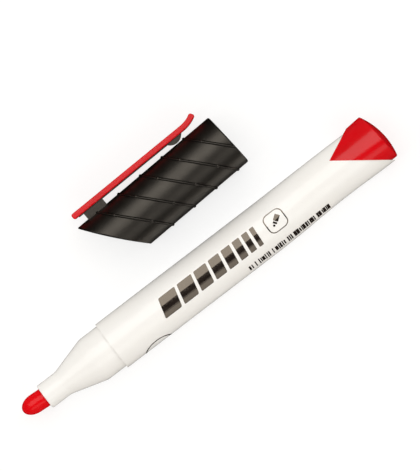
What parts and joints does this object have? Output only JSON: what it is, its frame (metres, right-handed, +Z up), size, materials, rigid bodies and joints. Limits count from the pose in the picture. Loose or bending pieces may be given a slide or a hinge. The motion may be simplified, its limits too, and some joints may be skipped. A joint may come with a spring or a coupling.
{
  "type": "whiteboard marker",
  "caption": "Bullet-nib whiteboard marker in a white barrel with a red wedge tail plug, and its slanted black clip cap lying beside it.",
  "frame": {"origin": "on the marker's axis, in the middle of the barrel's straight round grip", "axes": "+X along the marker towards its tail plug, nib towards -X; +Z up from the table that the marker and its cap lie on; the cap lies on the +Y side"},
  "size_m": [0.1251, 0.0451, 0.0168],
  "materials": {
    "white_gloss": "gloss moulded polypropylene",
    "inked_fibre": "ink-soaked fibre",
    "clear_film": "thin clear film",
    "red_gloss": "gloss moulded plastic",
    "black_satin": "satin moulded plastic",
    "natural_plastic": "natural polyethylene"
  },
  "bodies": {
    "marker": {"barrel": "white_gloss", "nose_section": "white_gloss", "nib": "inked_fibre", "ink_reservoir": "inked_fibre", "reservoir_wrap": "clear_film", "tail_plug": "red_gloss"},
    "cap": {"cap_shell": "black_satin", "cap_liner": "natural_plastic"},
    "clip": {"clip_arm": "black_satin", "clip_cover": "red_gloss"}
  },
  "joints": [
    {"name": "cap_pull", "type": "slide", "parent": "marker", "child": "cap", "axis": [-0.9988, -0.0495, 0], "range_m": [0, 0.03]},
    {"name": "clip_flex", "type": "hinge", "parent": "cap", "child": "clip", "pos_m": [-0.02109, 0.03347, 0.00095], "axis": [0, 0, 1], "range_deg": [0, 4], "stiffness_Nm_per_rad": 0.3}
  ]
}
